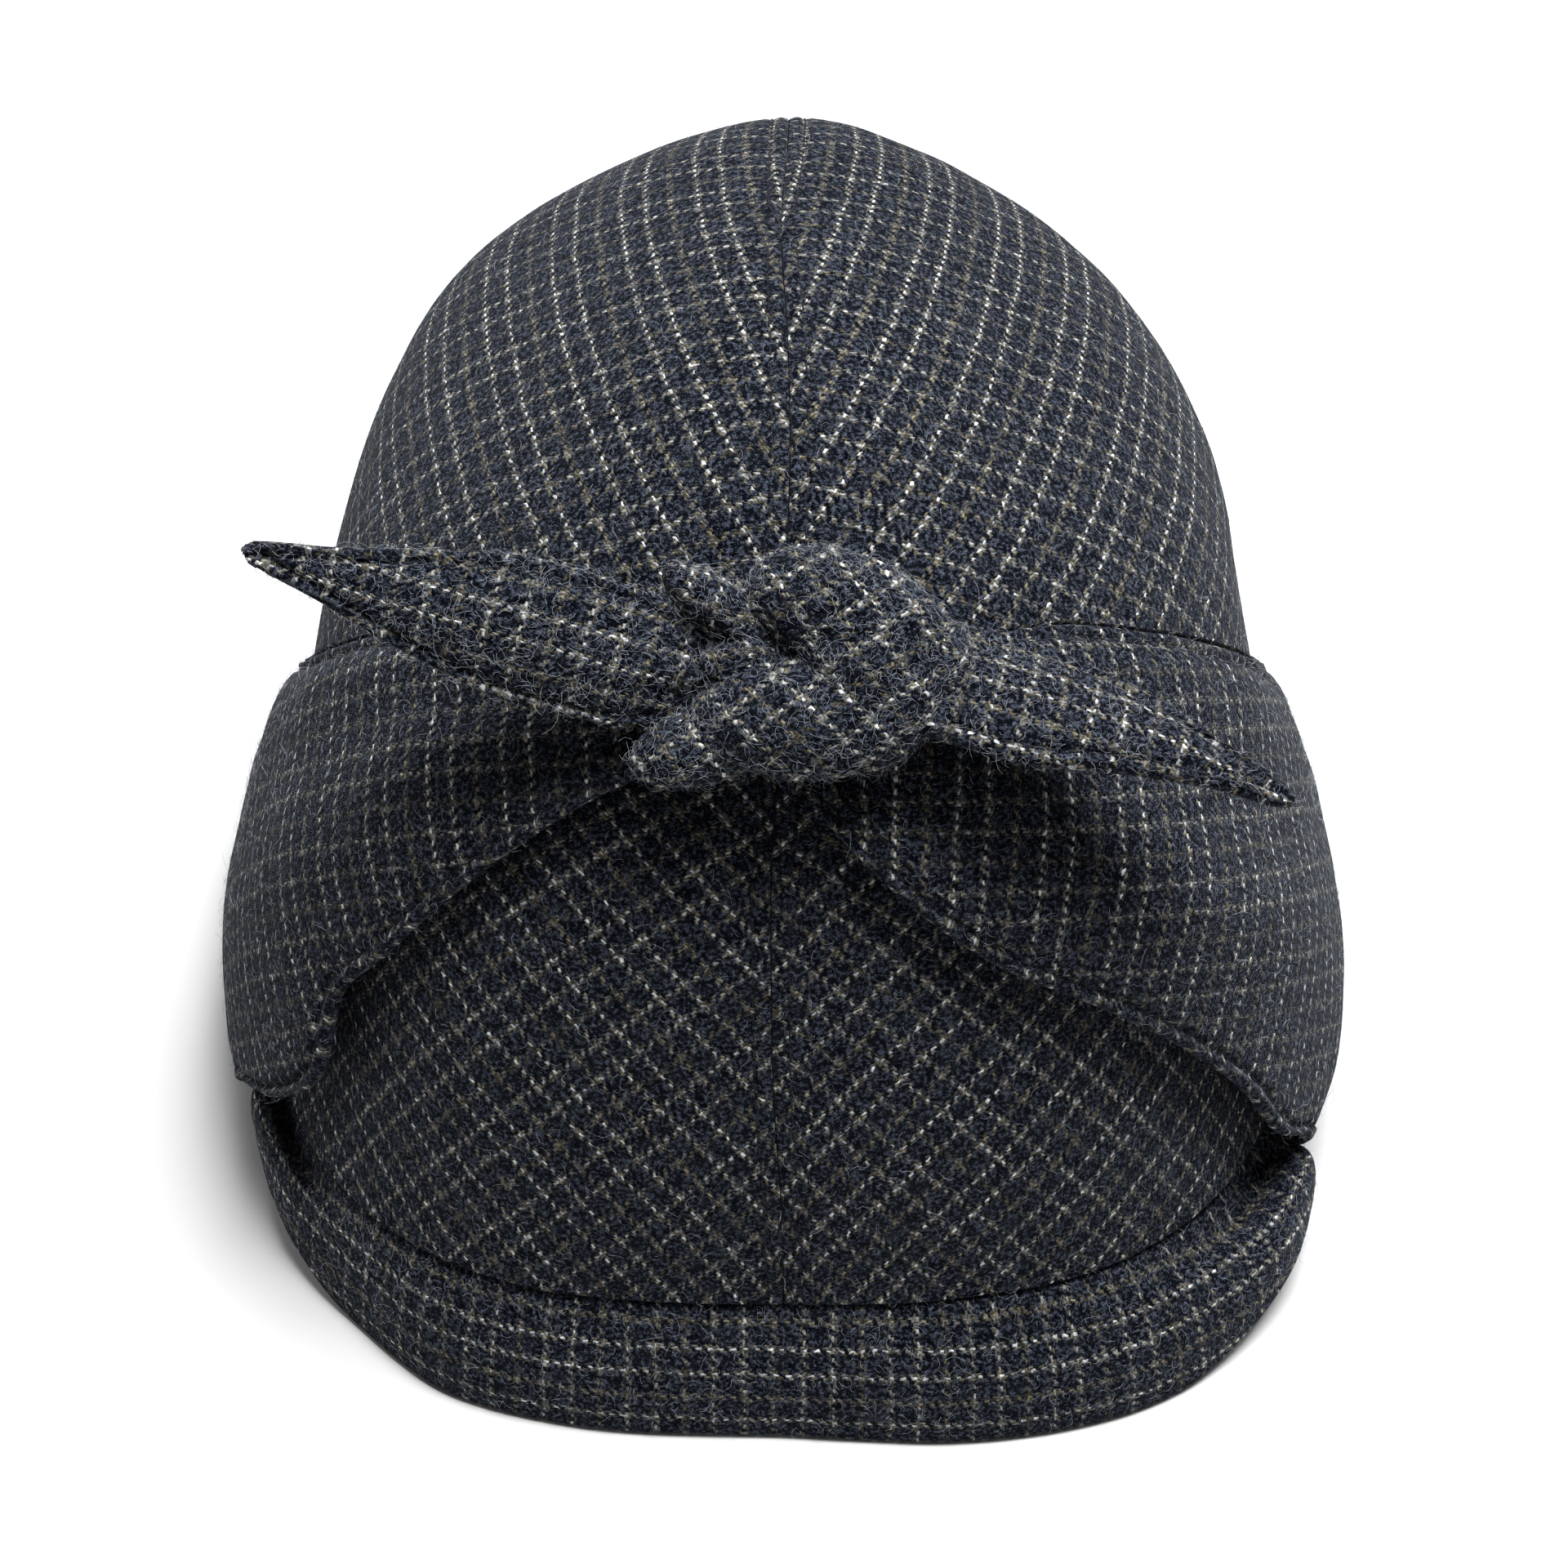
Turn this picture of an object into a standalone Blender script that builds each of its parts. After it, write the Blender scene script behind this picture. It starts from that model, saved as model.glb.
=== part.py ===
"""Deerstalker hat of checked wool cloth, standing on the edges of its two bills.

The front faces -Y, and left and right are as seen from there: left is -X.
The origin is on the surface that the hat stands on, under the middle of the hat.
"""

from collections import namedtuple
from math import cos, pi, radians, sin, sqrt

import bmesh
import bpy
from mathutils import Vector

MM = 0.001

# Crown: outer sizes of the two panels together, and the cloth
CROWN_LENGTH = 206 * MM
CROWN_WIDTH = 179 * MM
CROWN_HEIGHT = 136 * MM
CROWN_WALL = 2.2 * MM
CROWN_SQUARENESS = 2.9
SEAM_GAP = 0.3 * MM
HALF_TURN = 180

# Bills: one height for both, so that the hat stands level
BILL_DROP = 24.7 * MM
BILL_REACH = 12 * MM
BILL_WALL = 3.0 * MM
BILL_CLEAR_TURN = 1.5
BILL_TUCK = 1.0 * MM
BILL_CURVE = 2.3
BACK_BILL_REACH = 9 * MM

# Ear flaps, of doubled cloth, in degrees round the crown from its front
FLAP_WALL = 2.6 * MM
LEFT_FLAP_TURN = 65
RIGHT_FLAP_TURN = 58
FLAP_BACK_TURN = 123
FLAP_ROOT = 4.7 * MM
FLAP_ROLL = 5.2 * MM
FLAP_TUCK = 2.4 * MM
FLAP_BULGE = 4.0 * MM
FLAP_BULGE_LEAN = 0.6
FLAP_ROOT_SHARE = 0.05
FLAP_ROLL_SHARE = 0.25
FLAP_LIFT_EASE = 4

# Knot and tails of the ties
KNOT_TURN = 3.0
KNOT_LEVEL = 0.778
KNOT_WIDTH = 45 * MM
KNOT_DEPTH = 31 * MM
KNOT_THICKNESS = 14 * MM
KNOT_SETTLE = 1.1 * MM
KNOT_SQUARENESS = 2.3
TAIL_WALL = 2.8 * MM
TAIL_LENGTH = 65 * MM
TAIL_WIDTH = 22 * MM
TAIL_BEND = 5 * MM
TAIL_CUP = 4 * MM
TAIL_GAP = 0.4 * MM
TAIL_STEP = 0.1 * MM

CLOTH_COLOUR = (0.035, 0.04, 0.052, 1.0)
CLOTH_ROUGHNESS = 0.95

# How finely each piece is laid out: columns and rows of its grid, or segments and rings
CROWN_GRID = (24, 14)
BILL_GRID = (30, 4)
FLAP_GRID = (12, 24)
TAIL_GRID = (6, 12)
KNOT_GRID = (24, 14)
MERGE_WITHIN = 0.02 * MM

# Steps of turn and height over which the crown's slope is taken, and the highest place for it
SLOPE_TURN = 0.5
SLOPE_HEIGHT = 0.004
SLOPE_TOP = 0.995

RIM_HEIGHT = BILL_DROP + SEAM_GAP
FLAP_STAND = 2 * FLAP_ROLL - FLAP_TUCK

# Crown sections from the rim up, as shares of its height, half-width and half-length.
# The last column moves the centre seam sideways, as a share of the half-width.
Level = namedtuple("Level", "height width length seam")
CROWN_LEVELS = (
    Level(0.00, 1.00, 1.00, 0.004),
    Level(0.15, 0.95, 0.99, 0.000),
    Level(0.35, 0.90, 0.95, -0.015),
    Level(0.55, 0.82, 0.87, -0.018),
    Level(0.70, 0.72, 0.77, -0.006),
    Level(0.80, 0.59, 0.67, 0.004),
    Level(0.88, 0.43, 0.56, 0.010),
    Level(0.94, 0.28, 0.43, 0.014),
    Level(0.98, 0.14, 0.25, 0.010),
    Level(1.00, 0.00, 0.00, 0.000),
)

# Soft dents (positive) and swellings (negative) of the crown: where they lie, how wide they
# are in degrees and as a share of the height, and their depth as a share of the half-width
Dent = namedtuple("Dent", "turn height turn_spread height_spread depth")
CROWN_DENTS = (
    Dent(78, 0.68, 48, 0.20, -0.034),
    Dent(105, 0.82, 30, 0.09, -0.020),
    Dent(-110, 0.80, 32, 0.10, -0.030),
    Dent(35, 0.93, 16, 0.04, 0.014),
    Dent(20, 0.16, 18, 0.10, -0.010),
    Dent(-25, 0.30, 14, 0.08, 0.008),
    Dent(140, 0.60, 24, 0.12, 0.012),
)

# Bill sections from its left end (-1) to its right end (1), as shares of reach and drop
Brim = namedtuple("Brim", "across reach drop")
FRONT_BILL = (
    Brim(-1.00, 0.62, 0.44),
    Brim(-0.85, 0.62, 0.70),
    Brim(-0.66, 0.50, 1.00),
    Brim(-0.46, 0.70, 1.00),
    Brim(-0.30, 0.70, 1.00),
    Brim(0.00, 0.68, 1.00),
    Brim(0.35, 0.90, 1.00),
    Brim(0.65, 1.08, 1.00),
    Brim(0.85, 1.12, 0.74),
    Brim(1.00, 0.90, 0.48),
)
BACK_BILL = (
    Brim(-1.00, 0.60, 0.48),
    Brim(-0.85, 0.75, 0.74),
    Brim(-0.65, 1.00, 1.00),
    Brim(0.65, 1.00, 1.00),
    Brim(0.85, 0.75, 0.74),
    Brim(1.00, 0.60, 0.48),
)

# Ear flaps above their roll: the lower and the upper edge at stations on the way to the knot.
# Turns are shares of the angles at the roll, heights of the crown's height, and stands of
# how far the roll stands off.
Station = namedtuple(
    "Station", "along low_turn low_height low_stand high_turn high_height high_stand"
)
LEFT_FLAP = (
    Station(0.00, 1.00, 0.00, 1.00, 1.00, 0.00, 1.00),
    Station(0.18, 0.80, 0.12, 1.05, 0.88, 0.16, 0.75),
    Station(0.34, 0.72, 0.22, 1.00, 0.77, 0.31, 0.50),
    Station(0.48, 0.71, 0.31, 0.90, 0.66, 0.45, 0.45),
    Station(0.62, 0.63, 0.41, 0.80, 0.56, 0.58, 0.45),
    Station(0.75, 0.51, 0.53, 0.76, 0.46, 0.68, 0.47),
    Station(0.88, 0.34, 0.64, 0.76, 0.31, 0.75, 0.50),
    Station(1.00, 0.06, 0.74, 0.72, 0.09, 0.80, 0.60),
)
RIGHT_FLAP = (
    Station(0.00, 1.00, 0.00, 1.00, 1.00, 0.00, 1.00),
    Station(0.18, 0.88, 0.07, 1.05, 0.88, 0.16, 0.75),
    Station(0.34, 0.82, 0.17, 1.00, 0.77, 0.31, 0.50),
    Station(0.48, 0.71, 0.29, 0.90, 0.65, 0.45, 0.45),
    Station(0.62, 0.56, 0.40, 0.80, 0.55, 0.59, 0.45),
    Station(0.75, 0.40, 0.48, 0.76, 0.44, 0.70, 0.47),
    Station(0.88, 0.24, 0.57, 0.76, 0.31, 0.77, 0.50),
    Station(1.00, 0.06, 0.67, 0.72, 0.10, 0.80, 0.60),
)

# Folds of the knot: the crease's plane and its middle as directions in the knot's own
# frame (across, up, out), how wide it is, and its depth as a share of the radius
Fold = namedtuple("Fold", "plane middle width depth")
KNOT_FOLDS = (
    Fold((0.75, 0.55, 0.30), (-0.45, 0.35, 0.80), 0.20, 0.20),
    Fold((0.80, -0.45, 0.35), (-0.30, -0.50, 0.80), 0.18, 0.16),
    Fold((-0.65, 0.60, 0.45), (0.70, 0.30, 0.60), 0.18, 0.14),
    Fold((0.10, 0.95, 0.10), (-0.40, 0.10, 0.90), 0.20, 0.10),
)

# Tails: width and bend along them, from the knot (0) to the tip (1)
Leaf = namedtuple("Leaf", "along width bend")
TAIL_LEAF = (
    Leaf(0.00, 0.62, 0.0),
    Leaf(0.14, 0.94, 0.5),
    Leaf(0.35, 1.00, 0.9),
    Leaf(0.60, 0.74, 1.0),
    Leaf(0.82, 0.40, 0.6),
    Leaf(0.96, 0.15, 0.1),
    Leaf(1.00, 0.05, 0.0),
)

# How each tail leaves the knot: its place on the knot, its rise and twist in degrees,
# and the share of its length that is wound into the knot
Tail = namedtuple("Tail", "side place rise twist wound")
TAILS = (
    Tail("left", (-0.70, -0.06, 0.10), 163, 6, 0.0),
    Tail("right", (0.70, 0.00, 0.00), -20, -38, 0.14),
)


def read_table(table, column, at):
    """Reads one column of a table on a smooth curve that never passes its rows' values."""
    xs = [row[0] for row in table]
    ys = [getattr(row, column) for row in table]
    at = min(max(at, xs[0]), xs[-1])
    slopes = [(ys[i + 1] - ys[i]) / (xs[i + 1] - xs[i]) for i in range(len(xs) - 1)]
    lean = [slopes[0]]
    for before, after in zip(slopes, slopes[1:]):
        lean.append(0.0 if before * after <= 0 else 2 * before * after / (before + after))
    lean.append(slopes[-1])
    i = max(k for k in range(len(slopes)) if xs[k] <= at)
    step = xs[i + 1] - xs[i]
    s = (at - xs[i]) / step
    start = ys[i] * (1 + 2 * s) * (1 - s) ** 2 + lean[i] * step * s * (1 - s) ** 2
    return start + ys[i + 1] * s * s * (3 - 2 * s) - lean[i + 1] * step * s * s * (1 - s)


def squared(table, column):
    """The same table with a column squared, so that its shape closes round at the top."""
    return tuple(row._replace(**{column: getattr(row, column) ** 2}) for row in table)


ROUND_WIDTH = squared(CROWN_LEVELS, "width")
ROUND_LENGTH = squared(CROWN_LEVELS, "length")


def hump(off):
    """A smooth hump: 1 in the middle, a third at 1 and next to nothing beyond 2."""
    return 2.718 ** -(off * off)


def dent_at(turn, height):
    """How far the crown is pressed in there, as a share of its half-width."""
    depth = 0.0
    for dent in CROWN_DENTS:
        across = (turn - dent.turn) / dent.turn_spread
        up = (height - dent.height) / dent.height_spread
        depth += dent.depth * hump(across) * hump(up)
    return depth


def crown_point(turn, height, inset=0.0):
    """A point of the crown: turn in degrees from the front, height as a share above the rim."""
    share = min(max(height, 0.0), 1.0)
    half_width = CROWN_WIDTH / 2 - inset
    half_length = CROWN_LENGTH / 2 - inset
    dent = dent_at(turn, height) * CROWN_WIDTH / 2 * sin(pi * share)
    width = half_width * sqrt(max(read_table(ROUND_WIDTH, "width", share), 0.0))
    length = half_length * sqrt(max(read_table(ROUND_LENGTH, "length", share), 0.0))
    width, length = max(width - dent, 0.0), max(length - dent, 0.0)
    power = 2 + (CROWN_SQUARENESS - 2) * (1 - share)
    s, c = sin(radians(turn)), cos(radians(turn))
    reach = (abs(s) ** power + abs(c) ** power) ** (-1 / power)
    seam = read_table(CROWN_LEVELS, "seam", share) * half_width * c * c
    rise = CROWN_HEIGHT - inset if height > 0 else CROWN_HEIGHT
    return Vector((width * reach * s + seam, -length * reach * c, RIM_HEIGHT + rise * height))


def crown_frame(turn, height):
    """Directions across, up and out of the crown's surface at a place."""
    across = crown_point(turn + SLOPE_TURN, height) - crown_point(turn - SLOPE_TURN, height)
    top = min(height + SLOPE_HEIGHT, SLOPE_TOP)
    up = crown_point(turn, top) - crown_point(turn, top - 2 * SLOPE_HEIGHT)
    out = across.cross(up).normalized()
    across.normalize()
    return across, out.cross(across), out


def over_crown(turn, height, stand):
    """A point that stands off the crown's surface."""
    return crown_point(turn, height) + crown_frame(turn, height)[2] * stand


def cloth_material(name):
    """A plain cloth surface."""
    material = bpy.data.materials.new(name)
    material.use_nodes = True
    surface = material.node_tree.nodes["Principled BSDF"]
    surface.inputs["Base Color"].default_value = CLOTH_COLOUR
    surface.inputs["Roughness"].default_value = CLOTH_ROUGHNESS
    surface.inputs["Metallic"].default_value = 0.0
    return material


def add_object(name, shape):
    """Makes the finished object of one piece of cloth."""
    shape.normal_update()
    bmesh.ops.recalc_face_normals(shape, faces=shape.faces)
    mesh = bpy.data.meshes.new(name)
    shape.to_mesh(mesh)
    shape.free()
    mesh.shade_smooth()
    mesh.materials.append(cloth_material(name + "_cloth"))
    piece = bpy.data.objects.new(name, mesh)
    bpy.context.collection.objects.link(piece)
    return piece


def cloth_wall(front, grid, wall=0.0, back=None, level_edge=False):
    """A closed sheet: a grid laid on front(u, v) and thickened to its back.

    The back is its own surface or lies a wall's thickness away, away from where u
    runs to the right as v runs up, or toward there if the wall is negative.
    """
    columns, rows = grid
    shape = bmesh.new()
    place = shape.verts.layers.float_vector.new("place")
    bmesh.ops.create_grid(shape, x_segments=columns, y_segments=rows, size=0.5)
    for vert in shape.verts:
        u, v = vert.co.x + 0.5, vert.co.y + 0.5
        vert[place] = (u, v, 0)
        vert.co = front(u, v)
    shape.normal_update()
    under = {tuple(vert[place]): vert.co - vert.normal * wall for vert in shape.verts}
    made = bmesh.ops.extrude_face_region(shape, geom=list(shape.faces), use_keep_orig=True)
    for vert in made["geom"]:
        if not isinstance(vert, bmesh.types.BMVert):
            continue
        u, v = vert[place][0], vert[place][1]
        level = vert.co.z
        vert.co = back(u, v) if back else under[tuple(vert[place])]
        if level_edge and v > 1 - 0.5 / rows:
            vert.co.z = level
    bmesh.ops.remove_doubles(shape, verts=shape.verts, dist=MERGE_WITHIN)
    return shape


def make_crown_half(name, side):
    """One side panel, from the front of the centre seam over the side to its back."""

    def surface(u, v, inset):
        height = sin(v * pi / 2)
        point = crown_point(side * HALF_TURN * u, height, inset)
        seam_turn = 0 if u < 0.5 else HALF_TURN
        clear = crown_point(seam_turn, height, inset).x + side * SEAM_GAP / 2
        point.x = max(point.x, clear) if side > 0 else min(point.x, clear)
        return point

    shape = cloth_wall(
        lambda u, v: surface(u, v, 0.0), CROWN_GRID, back=lambda u, v: surface(u, v, CROWN_WALL)
    )
    return add_object(name, shape)


def make_bill(name, table, full_reach, first_turn, last_turn):
    """A bill: it leaves the crown's rim at a slope and curves down to the surface it stands on."""
    start = first_turn + BILL_CLEAR_TURN
    sweep = last_turn - BILL_CLEAR_TURN - start

    def surface(u, v):
        across = 2 * u - 1
        turn = start + sweep * u
        reach = full_reach * read_table(table, "reach", across)
        drop = BILL_DROP * read_table(table, "drop", across)
        rim = crown_point(turn, 0)
        away = crown_frame(turn, 0)[2]
        away = Vector((away.x, away.y, 0)).normalized()
        stand = reach * (1 - (1 - v) ** BILL_CURVE) - BILL_TUCK
        return rim + away * stand - Vector((0, 0, SEAM_GAP + drop * v))

    return add_object(name, cloth_wall(surface, BILL_GRID, wall=-BILL_WALL, level_edge=True))


def flap_point(side, front_turn, table, u, v):
    """A point of an ear flap: u from its front edge to its back edge, v from rim to knot."""
    turn = front_turn + (FLAP_BACK_TURN - front_turn) * u
    if v < FLAP_ROLL_SHARE:
        rim = crown_point(side * turn, 0)
        away = crown_frame(side * turn, 0)[2]
        away = Vector((away.x, away.y, 0)).normalized()
        if v < FLAP_ROOT_SHARE:
            stand, drop = -FLAP_TUCK, FLAP_ROOT * v / FLAP_ROOT_SHARE
        else:
            angle = pi * (v - FLAP_ROOT_SHARE) / (FLAP_ROLL_SHARE - FLAP_ROOT_SHARE)
            stand = FLAP_ROLL - FLAP_TUCK - FLAP_ROLL * cos(angle)
            drop = FLAP_ROOT + FLAP_ROLL * sin(angle)
        return rim + away * stand - Vector((0, 0, SEAM_GAP + drop))
    along = (v - FLAP_ROLL_SHARE) / (1 - FLAP_ROLL_SHARE)
    low = front_turn * read_table(table, "low_turn", along)
    high = FLAP_BACK_TURN * read_table(table, "high_turn", along)
    below = -(FLAP_ROOT + SEAM_GAP) / CROWN_HEIGHT * (1 - along) ** FLAP_LIFT_EASE
    low_height = below + read_table(table, "low_height", along)
    high_height = below + read_table(table, "high_height", along)
    low_stand = read_table(table, "low_stand", along)
    high_stand = read_table(table, "high_stand", along)
    height = low_height + (high_height - low_height) * u
    stand = FLAP_STAND * (low_stand + (high_stand - low_stand) * u)
    stand += FLAP_BULGE * sin(pi * u) * sin(pi * along ** FLAP_BULGE_LEAN)
    return over_crown(side * (low + (high - low) * u), height, stand)


def make_flap(name, side, front_turn, table):
    """An ear flap: rolled up outside the rim, then drawn up and forward to the knot."""
    shape = cloth_wall(
        lambda u, v: flap_point(side, front_turn, table, u, v), FLAP_GRID, wall=side * FLAP_WALL
    )
    return add_object(name, shape)


def knot_frame():
    """The knot's middle and its own directions across, up and out."""
    flap_end = FLAP_STAND * RIGHT_FLAP[-1].low_stand
    middle = over_crown(KNOT_TURN, KNOT_LEVEL, flap_end - KNOT_SETTLE + KNOT_THICKNESS / 2)
    return (middle, *crown_frame(KNOT_TURN, KNOT_LEVEL))


def knot_point(direction, clearance=0.0, folds=KNOT_FOLDS):
    """Where a direction in the knot's own frame meets its folded surface."""
    a, b, c = direction.normalized()
    power = KNOT_SQUARENESS
    flat = (abs(2 * a / KNOT_WIDTH) ** power + abs(2 * b / KNOT_DEPTH) ** power) ** (1 / power)
    radius = (flat ** 2 + (2 * c / KNOT_THICKNESS) ** 2) ** -0.5
    for fold in folds:
        plane, middle = Vector(fold.plane).normalized(), Vector(fold.middle).normalized()
        off = plane.dot((a, b, c)) / fold.width
        near = max(middle.dot((a, b, c)), 0.0)
        radius *= 1 - fold.depth * hump(off) * near * near
    middle, across, up, out = knot_frame()
    return middle + (across * a + up * b + out * c) * (radius + clearance)


def make_knot(name):
    """The knot: a round body whose creases run to where the ties go in."""
    shape = bmesh.new()
    segments, rings = KNOT_GRID
    bmesh.ops.create_uvsphere(shape, u_segments=segments, v_segments=rings, radius=1.0)
    for vert in shape.verts:
        vert.co = knot_point(Vector((vert.co.z, vert.co.x, vert.co.y)))
    return add_object(name, shape)


def clear_of_knot(start, along):
    """How far a point moves along a direction before it is clear of the knot."""
    middle, across, up, out = knot_frame()
    run = 0.0
    while run < TAIL_LENGTH:
        spoke = start + along * run - middle
        direction = Vector((spoke.dot(across), spoke.dot(up), spoke.dot(out)))
        if spoke.length > (knot_point(direction, TAIL_GAP, folds=()) - middle).length:
            break
        run += TAIL_STEP
    return run


def make_tail(tail):
    """A pointed end of a tie, its root cut straight where it is clear of the knot."""
    middle, across, up, out = knot_frame()
    rise, twist = radians(tail.rise), radians(tail.twist)
    along = across * cos(rise) + up * sin(rise)
    level = (up * cos(rise) - across * sin(rise)) * (1 if cos(rise) > 0 else -1)
    wide = level * cos(twist) + out * sin(twist)
    bent = out * cos(twist) - level * sin(twist)
    root = middle + (
        across * tail.place[0] * KNOT_WIDTH
        + up * tail.place[1] * KNOT_DEPTH
        + out * tail.place[2] * KNOT_THICKNESS
    ) / 2

    def section(u, share, depth):
        width = TAIL_WIDTH * read_table(TAIL_LEAF, "width", share)
        bow = TAIL_CUP * (2 * u - 1) ** 2 * width / TAIL_WIDTH
        bend = TAIL_BEND * read_table(TAIL_LEAF, "bend", share) - bow - depth
        return root + wide * width * (u - 0.5) + bent * bend

    columns = TAIL_GRID[0]
    cut = [(i / columns, depth) for i in range(columns + 1) for depth in (0.0, TAIL_WALL)]
    start = max(clear_of_knot(section(u, tail.wound, depth), along) for u, depth in cut)

    def surface(u, v, depth):
        run = start + (TAIL_LENGTH * (1 - tail.wound) - start) * v
        return section(u, tail.wound + (1 - tail.wound) * v, depth) + along * run

    shape = cloth_wall(
        lambda u, v: surface(u, v, 0.0), TAIL_GRID, back=lambda u, v: surface(u, v, TAIL_WALL)
    )
    return add_object("tie_tail_" + tail.side, shape)


def main():
    for old in list(bpy.data.objects):
        bpy.data.objects.remove(old, do_unlink=True)
    make_crown_half("crown_left", -1)
    make_crown_half("crown_right", 1)
    make_bill("front_bill", FRONT_BILL, BILL_REACH, -LEFT_FLAP_TURN, RIGHT_FLAP_TURN)
    back_end = 2 * HALF_TURN - FLAP_BACK_TURN
    make_bill("back_bill", BACK_BILL, BACK_BILL_REACH, FLAP_BACK_TURN, back_end)
    make_flap("ear_flap_left", -1, LEFT_FLAP_TURN, LEFT_FLAP)
    make_flap("ear_flap_right", 1, RIGHT_FLAP_TURN, RIGHT_FLAP)
    make_knot("tie_knot")
    for tail in TAILS:
        make_tail(tail)


main()
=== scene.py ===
"""Deerstalker hat of checked wool cloth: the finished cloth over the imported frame.

The front faces -Y, and left and right are as seen from there: left is -X.
"""

import random
from bisect import bisect_right
from collections import namedtuple
from math import atan2, cos, exp, floor, hypot, log, pi, radians, sin, sqrt

import bmesh
import bpy
from mathutils import Matrix, Vector, kdtree, noise


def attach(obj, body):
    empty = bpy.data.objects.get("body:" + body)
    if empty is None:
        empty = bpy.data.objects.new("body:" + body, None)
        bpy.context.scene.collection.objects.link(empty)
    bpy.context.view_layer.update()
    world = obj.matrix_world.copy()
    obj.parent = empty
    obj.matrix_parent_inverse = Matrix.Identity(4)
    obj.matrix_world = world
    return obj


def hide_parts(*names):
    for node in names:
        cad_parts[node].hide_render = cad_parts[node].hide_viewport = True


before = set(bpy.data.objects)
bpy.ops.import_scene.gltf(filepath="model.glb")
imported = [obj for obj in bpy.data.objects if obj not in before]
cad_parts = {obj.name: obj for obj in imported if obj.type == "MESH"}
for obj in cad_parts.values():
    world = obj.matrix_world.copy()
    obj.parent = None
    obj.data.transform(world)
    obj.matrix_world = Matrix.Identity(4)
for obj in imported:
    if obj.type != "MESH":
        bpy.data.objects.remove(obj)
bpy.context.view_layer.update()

MM = 0.001
UP = Vector((0, 0, 1))
HALF_TURN = 180

# Sizes of the frame's pieces, as they were cut
CROWN_LENGTH = 206 * MM
CROWN_WIDTH = 179 * MM
CROWN_HEIGHT = 136 * MM
CROWN_WALL = 2.2 * MM
CROWN_SQUARENESS = 2.9
SEAM_GAP = 0.3 * MM
BILL_DROP = 24.7 * MM
BILL_REACH = 12 * MM
BILL_WALL = 3.0 * MM
BILL_CLEAR_TURN = 1.5
BILL_TUCK = 1.0 * MM
BILL_CURVE = 2.3
BACK_BILL_REACH = 9 * MM
FLAP_WALL = 2.6 * MM
LEFT_FLAP_TURN = 65
RIGHT_FLAP_TURN = 58
FLAP_BACK_TURN = 123
FLAP_ROOT = 4.7 * MM
FLAP_ROLL = 5.2 * MM
FLAP_TUCK = 2.4 * MM
FLAP_BULGE = 4.0 * MM
FLAP_BULGE_LEAN = 0.6
FLAP_LIFT_EASE = 4
FLAP_ROOT_SHARE = 0.05
FLAP_ROLL_SHARE = 0.25
KNOT_TURN = 3.0
KNOT_LEVEL = 0.778
KNOT_WIDTH = 45 * MM
KNOT_DEPTH = 31 * MM
KNOT_THICKNESS = 14 * MM
KNOT_SETTLE = 1.1 * MM
TAIL_WALL = 2.8 * MM
TAIL_LENGTH = 65 * MM
TAIL_WIDTH = 22 * MM
TAIL_BEND = 5 * MM
TAIL_CUP = 4 * MM
RIM_HEIGHT = BILL_DROP + SEAM_GAP
FLAP_STAND = 2 * FLAP_ROLL - FLAP_TUCK

# How far apart the points lie that give the slope of the crown
SLOPE_TURN = 0.5
SLOPE_HEIGHT = 0.004
SLOPE_TOP = 0.995

# Forms that only the finished cloth has: a hollow and a lip at each end of the bills, where
# they begin as a share of the half length, how fast they grow, and how near the very end they
# shut; pleats where the flaps and tails run into the knot; and the flaps' flattened back edge
BILL_END_DIP = 4.5 * MM
BILL_END_LIP = 2.2 * MM
BILL_END_FROM = 0.66
BILL_END_GROWTH = 0.20
BILL_END_SHUT = 0.09
PLEATS = 5
PLEAT_HEIGHT = 1.2 * MM
GATHER_EASE = 1.6
FLAP_EDGE_SINK = 0.95 * MM
TAIL_TIP = 1.5 * MM
TAIL_CUP_STRETCH = 1.15

# The cloth: a check of three lines, each of three light yarns, that repeats both ways
YARNS_PER_LINE = 10
YARNS_PER_CHECK = 30
CHECK = 13.8 * MM
SEAM_GRAIN = -21
GRAIN_LEAN = 1.1
RIM_LEAN = 0.40
RIM_LEAN_REACH = 45 * MM
LOWEST_GRAIN = -20 * MM
FLAP_GRAIN = 90
FLAP_GRAIN_LEAN = 6

Level = namedtuple("Level", "height width length seam")
CROWN_LEVELS = (
    Level(0.00, 1.00, 1.00, 0.004),
    Level(0.15, 0.95, 0.99, 0.000),
    Level(0.35, 0.90, 0.95, -0.015),
    Level(0.55, 0.82, 0.87, -0.018),
    Level(0.70, 0.72, 0.77, -0.006),
    Level(0.80, 0.59, 0.67, 0.004),
    Level(0.88, 0.43, 0.56, 0.010),
    Level(0.94, 0.28, 0.43, 0.014),
    Level(0.98, 0.14, 0.25, 0.010),
    Level(1.00, 0.00, 0.00, 0.000),
)
Dent = namedtuple("Dent", "turn height turn_spread height_spread depth")
CROWN_DENTS = (
    Dent(78, 0.68, 48, 0.20, -0.034),
    Dent(105, 0.82, 30, 0.09, -0.020),
    Dent(-110, 0.80, 32, 0.10, -0.030),
    Dent(35, 0.93, 16, 0.04, 0.014),
    Dent(20, 0.16, 18, 0.10, -0.010),
    Dent(-25, 0.30, 14, 0.08, 0.008),
    Dent(140, 0.60, 24, 0.12, 0.012),
)
Brim = namedtuple("Brim", "across reach drop")
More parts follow.
